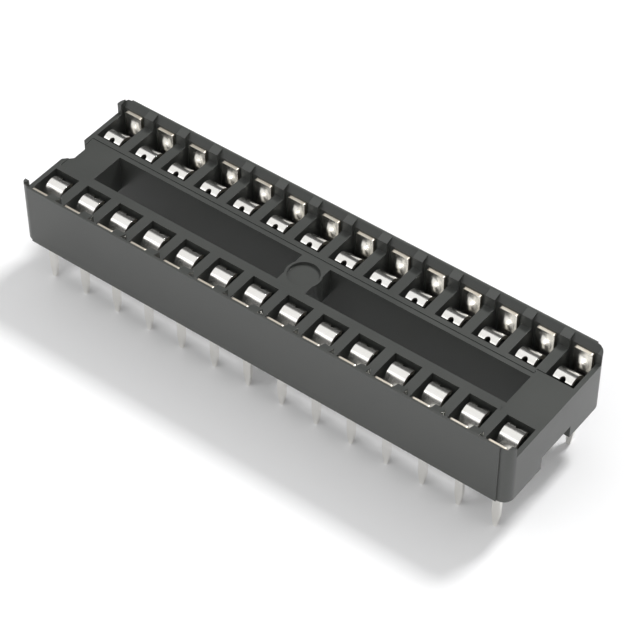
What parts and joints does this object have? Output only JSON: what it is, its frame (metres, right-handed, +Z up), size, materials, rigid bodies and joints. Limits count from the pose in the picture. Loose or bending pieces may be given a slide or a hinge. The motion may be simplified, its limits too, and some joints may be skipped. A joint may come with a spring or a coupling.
{
  "type": "dual in-line ic socket",
  "caption": "Moulded socket that holds a dual in-line chip in rows of sprung double-leaf contacts, with flat solder tails below for a circuit board.",
  "frame": {"origin": "centre of the footprint on the board's top face, midway between the two rows and the two ends, where the tails enter the board", "axes": "+X along the rows, away from the polarity notch; +Y across to the far row; +Z up, out of the board"},
  "size_m": [0.0354, 0.0098, 0.008],
  "materials": {
    "housing": "dark grey moulded thermoplastic, semi-gloss",
    "contact": "bright tin plate over stamped copper alloy"
  },
  "bodies": {
    "root": {"housing": "housing", "contact_01": "contact", "contact_02": "contact", "contact_03": "contact", "contact_04": "contact", "contact_05": "contact", "contact_06": "contact", "contact_07": "contact", "contact_08": "contact", "contact_09": "contact", "contact_10": "contact", "contact_11": "contact", "contact_12": "contact", "contact_13": "contact", "contact_14": "contact", "contact_15": "contact", "contact_16": "contact", "contact_17": "contact", "contact_18": "contact", "contact_19": "contact", "contact_20": "contact", "contact_21": "contact", "contact_22": "contact", "contact_23": "contact", "contact_24": "contact", "contact_25": "contact", "contact_26": "contact", "contact_27": "contact", "contact_28": "contact"}
  },
  "joints": []
}
